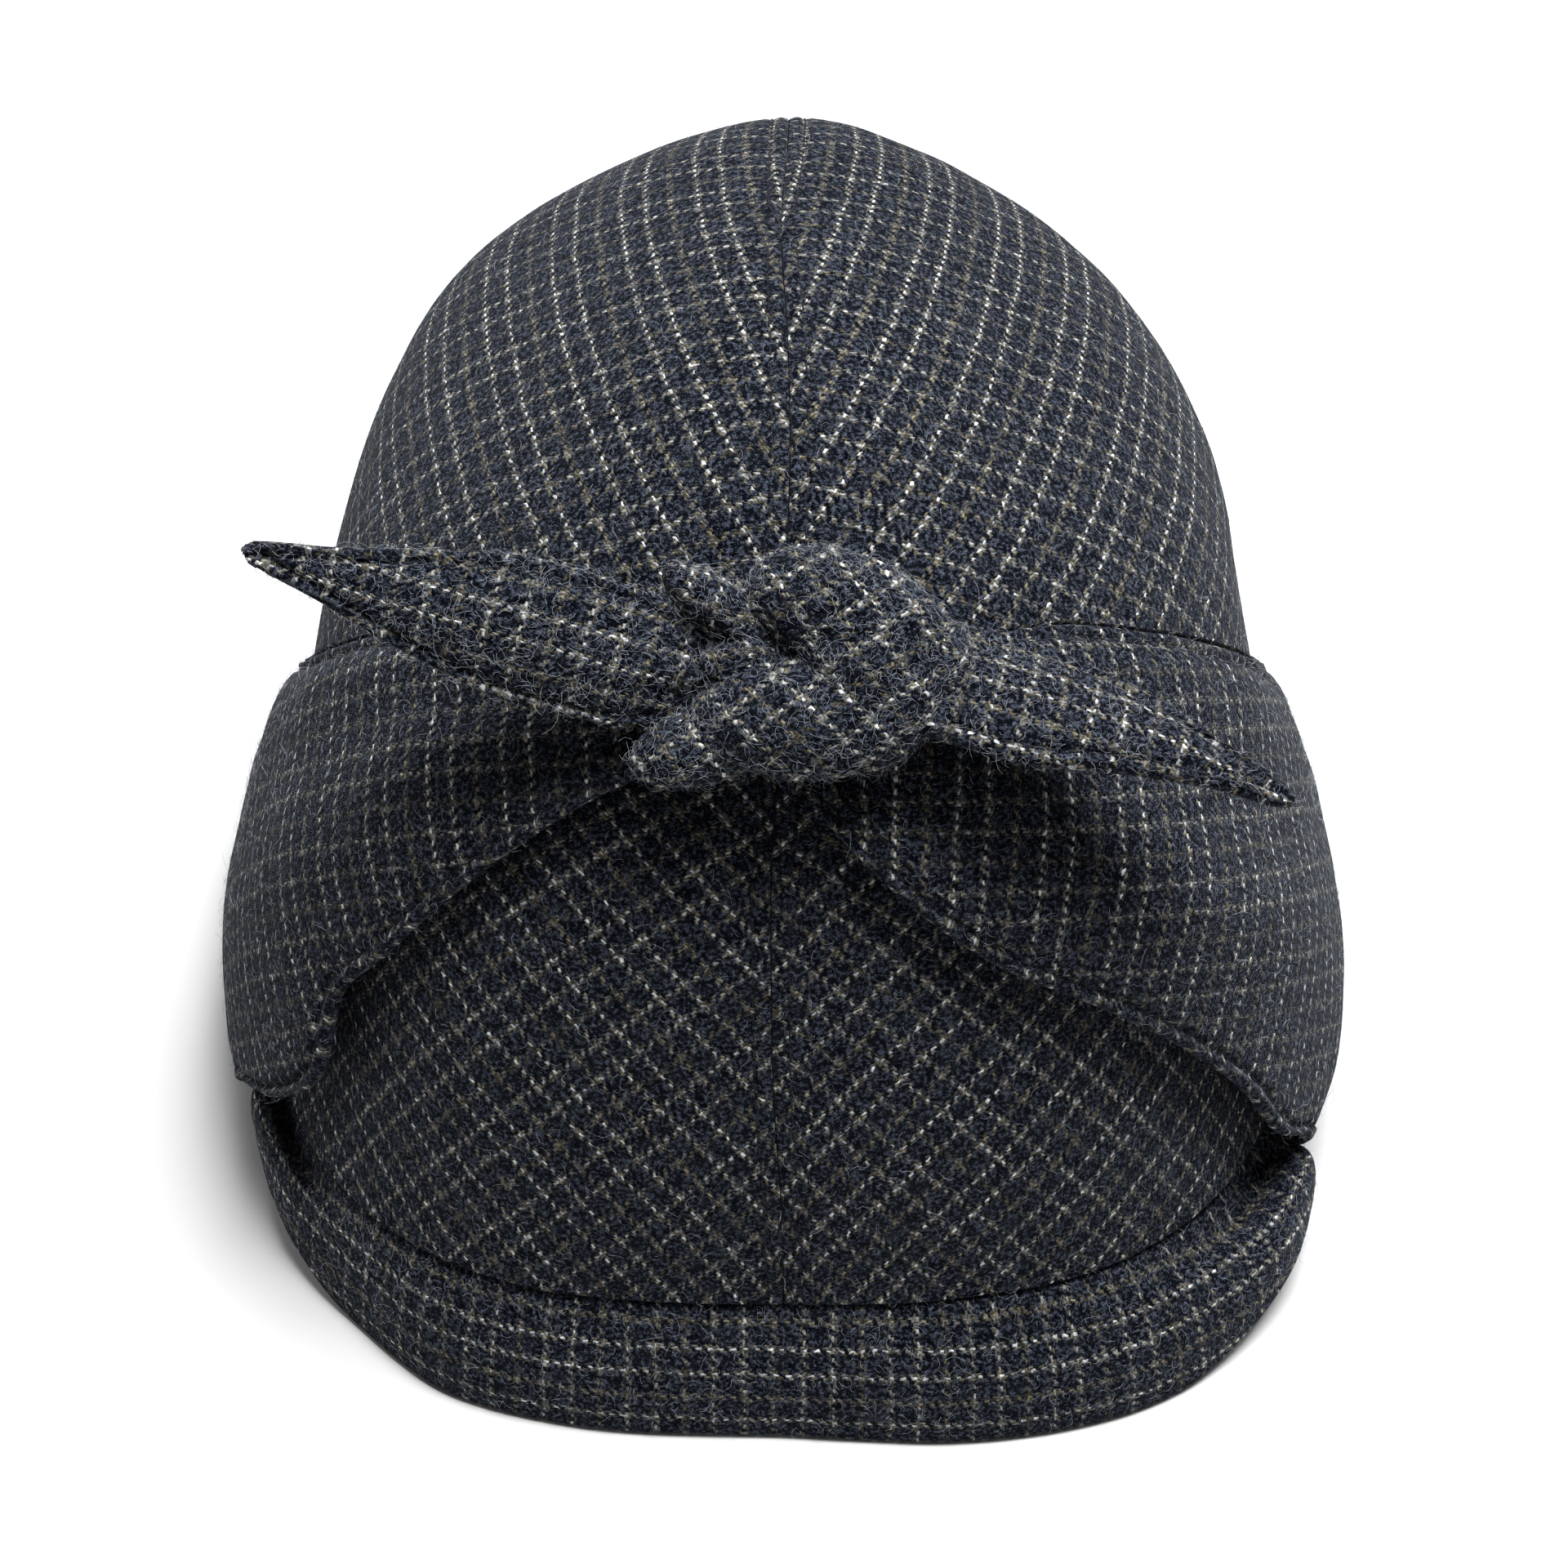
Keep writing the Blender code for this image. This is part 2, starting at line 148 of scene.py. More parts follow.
FRONT_BILL = (
    Brim(-1.00, 0.62, 0.44),
    Brim(-0.85, 0.62, 0.70),
    Brim(-0.66, 0.50, 1.00),
    Brim(-0.46, 0.70, 1.00),
    Brim(-0.30, 0.70, 1.00),
    Brim(0.00, 0.68, 1.00),
    Brim(0.35, 0.90, 1.00),
    Brim(0.65, 1.08, 1.00),
    Brim(0.85, 1.12, 0.74),
    Brim(1.00, 0.90, 0.48),
)
BACK_BILL = (
    Brim(-1.00, 0.60, 0.48),
    Brim(-0.85, 0.75, 0.74),
    Brim(-0.65, 1.00, 1.00),
    Brim(0.65, 1.00, 1.00),
    Brim(0.85, 0.75, 0.74),
    Brim(1.00, 0.60, 0.48),
)
Station = namedtuple("Station", "along low_turn low_height low_stand high_turn high_height high_stand")
LEFT_FLAP = (
    Station(0.00, 1.00, 0.00, 1.00, 1.00, 0.00, 1.00),
    Station(0.18, 0.80, 0.12, 1.05, 0.88, 0.16, 0.75),
    Station(0.34, 0.72, 0.22, 1.00, 0.77, 0.31, 0.50),
    Station(0.48, 0.71, 0.31, 0.90, 0.66, 0.45, 0.45),
    Station(0.62, 0.63, 0.41, 0.80, 0.56, 0.58, 0.45),
    Station(0.75, 0.51, 0.53, 0.76, 0.46, 0.68, 0.47),
    Station(0.88, 0.34, 0.64, 0.76, 0.31, 0.75, 0.50),
    Station(1.00, 0.06, 0.74, 0.72, 0.09, 0.80, 0.60),
)
RIGHT_FLAP = (
    Station(0.00, 1.00, 0.00, 1.00, 1.00, 0.00, 1.00),
    Station(0.18, 0.88, 0.07, 1.05, 0.88, 0.16, 0.75),
    Station(0.34, 0.82, 0.17, 1.00, 0.77, 0.31, 0.50),
    Station(0.48, 0.71, 0.29, 0.90, 0.65, 0.45, 0.45),
    Station(0.62, 0.56, 0.40, 0.80, 0.55, 0.59, 0.45),
    Station(0.75, 0.40, 0.48, 0.76, 0.44, 0.70, 0.47),
    Station(0.88, 0.24, 0.57, 0.76, 0.31, 0.77, 0.50),
    Station(1.00, 0.06, 0.67, 0.72, 0.10, 0.80, 0.60),
)
# Soft folds of the flaps that run toward the knot: side, how far across the flap they lie at
# the roll and at the knot, how wide they are across it, and their height in mm
Gather = namedtuple("Gather", "side at_roll at_knot width height")
GATHERS = (
    Gather(1, 0.62, 0.55, 0.16, -2.2),
    Gather(1, 0.30, 0.35, 0.14, 1.4),
    Gather(-1, 0.55, 0.60, 0.18, -1.6),
    Gather(-1, 0.28, 0.30, 0.14, 1.0),
)
Leaf = namedtuple("Leaf", "along width bend")
TAIL_LEAF = (
    Leaf(0.00, 0.62, 0.0),
    Leaf(0.14, 0.94, 0.5),
    Leaf(0.35, 1.00, 0.9),
    Leaf(0.60, 0.74, 1.0),
    Leaf(0.82, 0.40, 0.6),
    Leaf(0.96, 0.22, 0.1),
    Leaf(1.00, 0.13, 0.0),
)

# Place of each tail's root in shares of the knot's half sizes, its directions in degrees, the
# share of it that is wound in, and how far it starts inside the knot
Tail = namedtuple("Tail", "side place rise twist wound inside")
TAILS = (
    Tail("left", (-0.70, -0.06, 0.10), 163, 6, 0.0, 5 * MM),
    Tail("right", (0.70, 0.00, 0.00), -20, -38, 0.14, 3 * MM),
)

# Lobes of the knot in its own frame (across, up, out): middle and half sizes in mm, turn of
# the long axis, and the direction of the cloth's grain, in degrees
Lobe = namedtuple("Lobe", "middle half turn grain")
KNOT_LOBES = (
    Lobe((0.0, 0.0, -3.0), (19.0, 12.0, 5.4), 0, 20),
    Lobe((6.5, 7.4, 1.0), (15.5, 8.6, 7.6), -22, 32),
    Lobe((9.5, 0.0, 1.8), (12.5, 9.5, 7.2), -42, 32),
    Lobe((0.5, -6.8, 1.2), (17.0, 8.8, 7.6), -2, 42),
    Lobe((-14.0, -10.2, -0.8), (11.5, 5.6, 5.8), 15, 34),
    Lobe((-12.5, 9.2, -0.8), (9.0, 4.0, 5.6), -38, -20),
    Lobe((-10.0, 1.4, -1.2), (6.5, 3.4, 5.8), 26, 8),
    Lobe((17.5, -0.5, -0.6), (6.5, 8.2, 6.6), -15, -30),
)
LOBE_BLEND = 3.0

# Where the cloth is pinched into the knot (across, up), how many gathers run from there, and
# how deep they are, in mm
Pinch = namedtuple("Pinch", "across up gathers depth")
KNOT_PINCHES = (
    Pinch(-6.5, 5.0, 7, 0.75),
    Pinch(-14.5, -1.0, 5, 0.60),
    Pinch(15.0, 3.0, 5, 0.35),
)

PINCH_REACH = 5.5
PINCH_CURL = 0.06
KNOT_SLOPE_STRETCH = 1.1

# Divisions of the finished cloth, and of the paper patterns that it is laid flat with
CROWN_GRID = (84, 52)
BILL_GRID = (110, 24)
FLAP_GRID = (36, 96)
TAIL_GRID = (14, 52)
KNOT_GRID = (128, 80)
CROWN_PATTERN = (48, 28)
FLAP_PATTERN = (24, 48)

# Distances from a cloth's edge, in mm, at which it has a row of points: a topstitched hem,
# a plain turned edge, and an edge that is tucked in elsewhere
HEM = (0.0, 0.12, 0.35, 0.7, 1.2, 1.8, 2.3, 2.7, 3.1, 3.7, 4.6)
STITCH_ROW = 7
PLAIN = (0.0, 0.15, 0.45, 0.9, 1.6)
TUCKED = (0.0,)
RIPPLES = 38
FINE_RIPPLES = 110
MERGE_WITHIN = 0.05 * MM
WELD_WITHIN = 0.01 * MM

# Topstitching
STITCH_THICKNESS = 0.36 * MM
STITCH_LENGTH = 2.1 * MM
STITCH_PITCH = 3.1 * MM
STITCH_SINK = 0.12 * MM

# Loose fibres of the milled wool: the least and most of their length in mm, of their lift and
# of the turn that they curl through, the share of long ones, and how many a piece has
FIBRE_LENGTH = (0.9, 2.6)
FIBRE_LIFT = (0.1, 0.7)
FIBRE_CURL = (0.4, 2.7)
LONG_FIBRES = 0.05
FIBRE_THICKNESS = 0.055 * MM
FIBRE_TAPER = 0.48
FIBRE_ARCH = 0.3
FIBRE_BENDS = 3
FIBRE_ROOT = 0.04 * MM
BARE_BELOW = 3 * MM
FIBRES = {
    "crown_left": 4500,
    "crown_right": 4500,
    "front_bill": 2200,
    "back_bill": 1400,
    "ear_flap_left": 3000,
    "ear_flap_right": 3200,
    "tie_knot": 3200,
    "tie_tail_left": 2100,
    "tie_tail_right": 1200,
}

# Colours of the wool and the thread, and the painted shade between yarns
NAVY = (0.0018, 0.0027, 0.0066)
SLATE = (0.100, 0.115, 0.150)
FELTED = (0.050, 0.056, 0.068)
BUFF = (0.46, 0.41, 0.28)
WHITE = (0.86, 0.88, 0.86)
# The next colour is painted shade: the near black that each yarn darkens to at its edges, standing in
# for the shade in the hollows between yarns
SHADE_BETWEEN_YARNS = (0.002, 0.003, 0.005)
SHEEN = (0.75, 0.80, 0.90)
THREAD = (0.030, 0.032, 0.040)
FIBRE = (0.50, 0.53, 0.58)

# The studio: a large soft lamp above, one behind each side, and a pale floor and backdrop
Lamp = namedtuple("Lamp", "name place power")
LAMPS = (
    Lamp("softbox_top", (0.17, -0.12, 1.14), 19.0),
    Lamp("softbox_left", (-0.80, 0.65, 0.30), 4.0),
    Lamp("softbox_right", (0.80, 0.65, 0.30), 4.0),
)
LAMPS_AIM = (0, 0, 0.08)
LAMP_SIZE = 0.5
FLOOR_RADIUS = 0.62
LIGHT_ALL_ROUND = 0.12
BACKDROP = 0.92


def aim_camera():
    """The camera of the photograph: in front, looking down at the hat."""
    target, distance, elevation = Vector((0, 0, 0.044)), 0.600, radians(42)
    back = Vector((0, -cos(elevation), sin(elevation)))
    data = bpy.data.cameras.new("camera")
    data.sensor_width, data.lens = 36, 77.3
    data.shift_x = 0.0016
    data.clip_start = 0.01
    camera = bpy.data.objects.new("camera", data)
    camera.location = target + back * distance
    camera.rotation_euler = back.to_track_quat("Z", "Y").to_euler()
    bpy.context.collection.objects.link(camera)
    bpy.context.scene.camera = camera


def curve(table, column, power=1):
    """One column of a table as a smooth curve that never passes its rows' values."""
    xs = [row[0] for row in table]
    ys = [getattr(row, column) ** power for row in table]
    slopes = [(ys[i + 1] - ys[i]) / (xs[i + 1] - xs[i]) for i in range(len(xs) - 1)]
    lean = [slopes[0]]
    for before, after in zip(slopes, slopes[1:]):
        lean.append(0.0 if before * after <= 0 else 2 * before * after / (before + after))
    lean.append(slopes[-1])

    def read(at):
        at = min(max(at, xs[0]), xs[-1])
        i = min(bisect_right(xs, at) - 1, len(slopes) - 1)
        step = xs[i + 1] - xs[i]
        s = (at - xs[i]) / step
        start = ys[i] * (1 + 2 * s) * (1 - s) ** 2 + lean[i] * step * s * (1 - s) ** 2
        return start + ys[i + 1] * s * s * (3 - 2 * s) - lean[i + 1] * step * s * s * (1 - s)

    return read


def columns_of(table):
    """Every column of a table as its own curve."""
    return {name: curve(table, name) for name in table[0]._fields[1:]}


ROUND_WIDTH = curve(CROWN_LEVELS, "width", 2)
ROUND_LENGTH = curve(CROWN_LEVELS, "length", 2)
SEAM_SHIFT = curve(CROWN_LEVELS, "seam")
LEAF_WIDTH, LEAF_BEND = curve(TAIL_LEAF, "width"), curve(TAIL_LEAF, "bend")


def crown_point(turn, height):
    """A point of the crown: turn in degrees from the front, height as a share above the rim."""
    share = min(max(height, 0.0), 1.0)
    half_width, half_length = CROWN_WIDTH / 2, CROWN_LENGTH / 2
    dent = 0.0
    for soft in CROWN_DENTS:
        across = (turn - soft.turn) / soft.turn_spread
        rise = (height - soft.height) / soft.height_spread
        dent += soft.depth * exp(-(across * across + rise * rise))
    dent *= half_width * sin(pi * share)
    wide = max(half_width * sqrt(max(ROUND_WIDTH(share), 0.0)) - dent, 0.0)
    deep = max(half_length * sqrt(max(ROUND_LENGTH(share), 0.0)) - dent, 0.0)
    power = 2 + (CROWN_SQUARENESS - 2) * (1 - share)
    s, c = sin(radians(turn)), cos(radians(turn))
    reach = (abs(s) ** power + abs(c) ** power) ** (-1 / power)
    seam = SEAM_SHIFT(share) * half_width * c * c
    level = RIM_HEIGHT + CROWN_HEIGHT * height
    return Vector((wide * reach * s + seam, -deep * reach * c, level))


def crown_frame(turn, height):
    """Directions across, up and out of the crown's surface at a place."""
    across = crown_point(turn + SLOPE_TURN, height) - crown_point(turn - SLOPE_TURN, height)
    top = min(height + SLOPE_HEIGHT, SLOPE_TOP)
    rising = crown_point(turn, top) - crown_point(turn, top - 2 * SLOPE_HEIGHT)
    out = across.cross(rising).normalized()
    across.normalize()
    return across, out.cross(across), out


def over_crown(turn, height, stand):
    """A point that stands off the crown's surface."""
    return crown_point(turn, height) + crown_frame(turn, height)[2] * stand


def level_out(turn):
    """The level direction away from the crown's rim."""
    away = crown_frame(turn, 0)[2]
    return Vector((away.x, away.y, 0)).normalized()


def spaced(path, first, last, inner, samples=64):
    """Places along a path, close together at its hems and even between them.

    Each is its parameter, its distance from the start and its distance from the end.
    """
    points = [path(k / samples) for k in range(samples + 1)]
    run = [0.0]
    for a, b in zip(points, points[1:]):
        run.append(run[-1] + (b - a).length)
    total = max(run[-1], 1e-6)
    fit = min(1.0, 0.6 * total / ((first[-1] + last[-1]) * MM + 1e-9))
    start, end = first[-1] * MM * fit, total - last[-1] * MM * fit
    marks = [distance * MM * fit for distance in first[:-1]]
    marks += [start + (end - start) * k / inner for k in range(inner + 1)]
    marks += [total - distance * MM * fit for distance in reversed(last[:-1])]
    places = []
    for mark in marks:
        i = min(max(bisect_right(run, mark) - 1, 0), samples - 1)
        step = max(run[i + 1] - run[i], 1e-12)
        t = (i + (mark - run[i]) / step) / samples
        places.append((min(max(t, 0.0), 1.0), mark, total - mark))
    return places


def measured(places, share):
    """The distance along a path at a share of its parameter, from its spaced places."""
    last = len(places) - 1
    at, run, _ = places[min(round(share * last), last)]
    return run + (share - at) * places[0][2]


def flatten(front, divisions, lower, upper, angle):
    """Lays a shaped cloth flat without much stretch, and says where each place of it lies.

    The line from the lower place to the upper one makes the given angle with the warp.
    """
    columns, rows = divisions
    shape = bmesh.new()
    bmesh.ops.create_grid(shape, x_segments=columns, y_segments=rows, size=0.5)
    for vert in shape.verts:
        vert.co = front(vert.co.x + 0.5, vert.co.y + 0.5)
    bmesh.ops.remove_doubles(shape, verts=shape.verts, dist=MERGE_WITHIN)
    mesh = bpy.data.meshes.new("flat")
    shape.to_mesh(mesh)
    shape.free()
    mesh.uv_layers.new(name="flat")
    sheet = bpy.data.objects.new("flat", mesh)
    bpy.context.collection.objects.link(sheet)
    for other in bpy.context.selected_objects:
        other.select_set(False)
    bpy.context.view_layer.objects.active = sheet
    sheet.select_set(True)
    bpy.ops.object.mode_set(mode="EDIT")
    bpy.ops.mesh.select_all(action="SELECT")
    bpy.ops.uv.unwrap(method="MINIMUM_STRETCH", iterations=30, margin=0.0)
    bpy.ops.object.mode_set(mode="OBJECT")
    flat = {}
    for loop, item in zip(mesh.loops, mesh.uv_layers[0].data):
        flat[loop.vertex_index] = Vector(item.uv)
    nearest = kdtree.KDTree(len(mesh.vertices))
    for vert in mesh.vertices:
        nearest.insert(vert.co, vert.index)
    nearest.balance()
    ends = [tuple(edge.vertices) for edge in mesh.edges]
    solid = sum((mesh.vertices[a].co - mesh.vertices[b].co).length for a, b in ends)
    paper = sum((flat[a] - flat[b]).length for a, b in ends)
    pattern = [
        [flat[nearest.find(front(i / columns, j / rows))[1]] for i in range(columns + 1)]
        for j in range(rows + 1)
    ]
    bpy.data.objects.remove(sheet, do_unlink=True)

    def read(u, v):
        x, y = u * columns, v * rows
        i, j = min(floor(x), columns - 1), min(floor(y), rows - 1)
        s, t = x - i, y - j
        low = pattern[j][i] * (1 - s) + pattern[j][i + 1] * s
        high = pattern[j + 1][i] * (1 - s) + pattern[j + 1][i + 1] * s
        return low * (1 - t) + high * t

    run = read(*upper) - read(*lower)
    turn = atan2(run.x, run.y) - radians(angle)
    scale = solid / paper

    def lay(u, v):
        place = read(u, v) * scale
        return Vector((place.x * cos(turn) - place.y * sin(turn),
                       place.x * sin(turn) + place.y * cos(turn)))

    return lay


def finish_piece(name, shape, node, slot, material):
    """Makes the finished object of one piece, in place of its plain solid if it has one."""
    mesh = bpy.data.meshes.new(name)
    shape.to_mesh(mesh)
    shape.free()
    mesh.shade_smooth()
    mesh.materials.append(material)
    piece = bpy.data.objects.new(name, mesh)
    bpy.context.collection.objects.link(piece)
    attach(piece, "root")
    if node:
        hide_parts(node)
    return piece


def roundness(distance, radius):
    """How full a hem is at a distance from its edge: 0 at the edge, 1 inside."""
    s = min(max(distance / radius, 0.0), 1.0)
    return sqrt(max(1 - (1 - s) ** 2, 0.0))


def groove(distance, at, width):
    """A soft groove beside an edge: 1 in its middle, 0 away from it."""
    return exp(-((distance - at) / width) ** 2)


def settle_order(shape, start):
    """Puts the faces from a number on in the order of their places.

    New faces come in another order in each run, and the loose fibres follow that order.
    """
    faces = list(shape.faces)
    placed = sorted(faces[start:], key=lambda face: tuple(face.calc_center_median()))
    for rank, face in enumerate(faces[:start] + placed):
        face.index = rank
    shape.faces.sort()


def lay_cloth(front, hems, inner, wall, lay, crease, wave=0.25, seam_distance=None, roll=1.1):
    """A closed sheet with rolled hems on front(u, v), and the rows that its stitches follow.

    hems are the spacings at u=0, u=1, v=0 and v=1, and inner the divisions between them. The
    wall is negative where front's own normal points into the hat. lay(u, v) is the place on the
    flat cloth. crease(u, v, distances) lifts the outside by its distances from those edges, and
    wave is the height of soft ripples, both in mm. seam_distance(u, v, point) takes the place
    of the distances across, where a seam is the edge. The hems are rounded over roll times half
    of the wall.
    """
    rows = spaced(lambda v: front(0.5, v), hems[2], hems[3], inner[1])
    grid = [spaced(lambda u, v=v[0]: front(u, v), hems[0], hems[1], inner[0]) for v in rows]
    columns = len(grid[0])
    shape = bmesh.new()
    spot = shape.verts.layers.float_vector.new("spot")
    grain = shape.loops.layers.uv.new("grain")
    bmesh.ops.create_grid(shape, x_segments=columns - 1, y_segments=len(rows) - 1, size=0.5)
    for vert in shape.verts:
        i = round((vert.co.x + 0.5) * (columns - 1))
        j = round((vert.co.y + 0.5) * (len(rows) - 1))
        vert[spot] = (i, j, 0)
        vert.co = front(grid[j][i][0], rows[j][0])
    for face in shape.faces:
        for loop in face.loops:
            i, j = int(loop.vert[spot][0]), int(loop.vert[spot][1])
            loop[grain].uv = lay(grid[j][i][0], rows[j][0]) / CHECK
    shape.normal_update()
    start = {}
    stitch_rows = {"first": [], "last": []}
    for vert in shape.verts:
        start[tuple(vert[spot])] = (vert.co.copy(), vert.normal.copy())
    laid = len(shape.faces)
    made = bmesh.ops.extrude_face_region(shape, geom=list(shape.faces), use_keep_orig=True)
    backs = {v for v in made["geom"] if isinstance(v, bmesh.types.BMVert)}
    half = abs(wall) / 2
    for vert in shape.verts:
        i, j = int(vert[spot][0]), int(vert[spot][1])
        point, out = start[(i, j, 0)]
        out = out if wall > 0 else -out
        u, near, far = grid[j][i]
        v, below, above = rows[j]
        if seam_distance:
            near = far = seam_distance(u, v, point)
        distances = (near, far, below, above)
        full = 1.0
        for distance, hem in zip(distances, hems):
            if hem is not TUCKED:
                full *= roundness(distance, half * roll)
        ripple = wave * noise.noise(point * RIPPLES) + 0.4 * wave * noise.noise(point * FINE_RIPPLES)
        lift = crease(u, v, distances) * MM + ripple * MM * full
        if vert in backs:
            vert.co = point - out * half * (1 + full) + out * ripple * MM * full
        else:
            vert.co = point - out * half * (1 - full) + out * lift
            if i == STITCH_ROW:
                stitch_rows["first"].append((j, vert.co.copy(), out.copy()))
            if i == columns - 1 - STITCH_ROW:
                stitch_rows["last"].append((j, vert.co.copy(), out.copy()))
    settle_order(shape, 2 * laid)
    bmesh.ops.remove_doubles(shape, verts=shape.verts, dist=WELD_WITHIN)
    shape.normal_update()
    bmesh.ops.recalc_face_normals(shape, faces=shape.faces)
    paths = {key: [(co, out) for j, co, out in sorted(row, key=lambda item: item[0])]
             for key, row in stitch_rows.items()}
    return shape, paths


def tubes(name, splines, thickness, roundness_steps, material, slot):
    """Fine tubes along lists of (point, share of the thickness), made one mesh."""
    data = bpy.data.curves.new(name, "CURVE")
    data.dimensions = "3D"
    data.bevel_depth = thickness / 2
    data.bevel_resolution = roundness_steps
    data.use_fill_caps = True
    for points in splines:
        spline = data.splines.new("POLY")
        spline.points.add(len(points) - 1)
        for knot, (place, share) in zip(spline.points, points):
            knot.co = (*place, 1.0)
            knot.radius = share
    thread = bpy.data.objects.new(name, data)
    bpy.context.collection.objects.link(thread)
    bpy.context.view_layer.update()
    depsgraph = bpy.context.evaluated_depsgraph_get()
    mesh = bpy.data.meshes.new_from_object(thread.evaluated_get(depsgraph))
    bpy.data.objects.remove(thread, do_unlink=True)
    shape = bmesh.new()
    shape.from_mesh(mesh)
    bpy.data.meshes.remove(mesh)
    return finish_piece(name, shape, None, slot, material)


def stitches(paths):
    """Running stitches along paths of (point, outward direction), sunk at both ends."""
    splines = []
    for path in paths:
        run = 0.0
        following = STITCH_PITCH
        for (a, out_a), (b, out_b) in zip(path, path[1:]):
            step = (b - a).length
            while run + step >= following and step > 0:
                t = (following - run) / step
                middle, out = a.lerp(b, t), out_a.lerp(out_b, t).normalized()
                half = (b - a).normalized() * STITCH_LENGTH / 2
                raised = out * STITCH_SINK
                splines.append([
                    (middle - half - 3 * raised, 0.6),
                    (middle - half * 0.6 + raised, 1.0),
                    (middle + half * 0.6 + raised, 1.0),
                    (middle + half - 3 * raised, 0.6),
                ])
                following += STITCH_PITCH
            run += step
    return splines


def fibres(piece, count):
    """Loose curled fibres, spread evenly over a piece's cloth and thinner toward their tips."""
    rng = random.Random(piece.name)
    mesh = piece.data
    mesh.calc_loop_triangles()
    triangles = list(mesh.loop_triangles)
    total, sums = 0.0, []
    for tri in triangles:
        total += tri.area
        sums.append(total)
    splines = []
    while len(splines) < count:
        tri = triangles[min(bisect_right(sums, rng.random() * total), len(triangles) - 1)]
        a, b = sorted((rng.random(), rng.random()))
        corners = [mesh.vertices[k].co for k in tri.vertices]
        point = corners[0] * a + corners[1] * (b - a) + corners[2] * (1 - b)
        normal = tri.normal.copy()
        turn = Vector((rng.gauss(0, 1), rng.gauss(0, 1), rng.gauss(0, 1)))
        length, lift = rng.uniform(*FIBRE_LENGTH), rng.uniform(*FIBRE_LIFT)
        bend = rng.uniform(*FIBRE_CURL)
        if point.z < BARE_BELOW:
            continue
        if rng.random() < LONG_FIBRES:
            length *= 2.0
        ahead = normal.cross(turn).normalized()
        aside = normal.cross(ahead) * rng.choice((-1, 1)) + normal * lift
        radius = length * MM / bend
        line = []
        for k in range(FIBRE_BENDS + 1):
            along = k / FIBRE_BENDS
            swing = bend * along
            place = point + ahead * radius * sin(swing) + aside * radius * (1 - cos(swing))
            rise = normal * lift * FIBRE_ARCH * length * MM * sin(pi * along)
            line.append((place + rise - normal * FIBRE_ROOT, 1 - FIBRE_TAPER * along))
        splines.append(line)
    return splines


def make_crown_half(name, side, cloth):
    """One side panel of the crown, its edges turned in at the centre seam."""

    def front(u, v):
        height = sin(v * pi / 2)
        point = crown_point(side * HALF_TURN * u, height)
        clear = seam_place(u, height) + side * SEAM_GAP / 10
        point.x = max(point.x, clear) if side > 0 else min(point.x, clear)
        return point

    def seam_place(u, height):
        return crown_point(0 if u < 0.5 else HALF_TURN, height).x

    def from_seam(u, v, point):
        return abs(point.x - seam_place(u, sin(v * pi / 2)))

    def crease(u, v, distances):
        seam, rim = distances[0] / MM, distances[2] / MM
        turned_in = 0.15 * groove(seam, 1.4, 0.8) - 0.22 * groove(seam, 0, 0.9)
        return turned_in - 0.32 * groove(seam, 2.7, 0.5) - 0.3 * groove(rim, 3.0, 1.2)

    flat = flatten(front, CROWN_PATTERN, (0.0, 0.45), (0.0, 0.8), SEAM_GRAIN)
    low = flat(0.0, 0.0).y

    def lay(u, v):
        place = flat(u, v)
        up = place.y - low
        at_rim = RIM_LEAN * RIM_LEAN_REACH * exp(-max(up, LOWEST_GRAIN) / RIM_LEAN_REACH)
        return Vector((place.x - GRAIN_LEAN * up ** 2 - at_rim, place.y))

    shape, paths = lay_cloth(front, (HEM, HEM, PLAIN, TUCKED), CROWN_GRID, CROWN_WALL * side, lay,
                             crease, wave=0.5, seam_distance=from_seam, roll=0.15)
    return finish_piece(name + "_cloth", shape, name, "crown_cloth", cloth), paths


def make_bill(name, table, full_reach, first_turn, last_turn, cloth):
    """A bill of stiffened cloth, its lines running along its length."""
    read = columns_of(table)
    start = first_turn + BILL_CLEAR_TURN
    sweep = last_turn - BILL_CLEAR_TURN - start

    def front(u, v):
        turn = start + sweep * u
        reach = full_reach * read["reach"](2 * u - 1)
        drop = BILL_DROP * read["drop"](2 * u - 1)
        stand = reach * (1 - (1 - v) ** BILL_CURVE) - BILL_TUCK
        out_from_middle = abs(2 * u - 1)
        end = min(max((out_from_middle - BILL_END_FROM) / BILL_END_GROWTH, 0.0), 1.0)
        shut = min((1 - out_from_middle) / BILL_END_SHUT, 1.0)
        hollow = BILL_END_DIP * shut * groove(v, 0.13, 0.11)
        lip = BILL_END_LIP * groove(v, 0.6, 0.25)
        drop = drop * v + (hollow - lip) * end * end * (3 - 2 * end)
        return crown_point(turn, 0) + level_out(turn) * stand - UP * (SEAM_GAP + drop)

    lengths = spaced(lambda u: front(u, 0.6), TUCKED, TUCKED, 200, samples=200)
    depths = spaced(lambda v: front(0.5, v), TUCKED, TUCKED, 40, samples=80)

    def lay(u, v):
        down = measured(depths, v) * read["drop"](2 * u - 1)
        return Vector((-down - 0.6 * MM, measured(lengths, u) + 0.9 * MM))

    def crease(u, v, distances):
        return -0.12 * groove(distances[3] / MM, 3.2, 0.9)

    shape, _ = lay_cloth(front, (PLAIN, PLAIN, TUCKED, PLAIN), BILL_GRID, -BILL_WALL, lay, crease)
    for vert in shape.verts:
        vert.co.z = max(vert.co.z, 0.0)
    return finish_piece(name + "_cloth", shape, name, "bill_cloth", cloth)


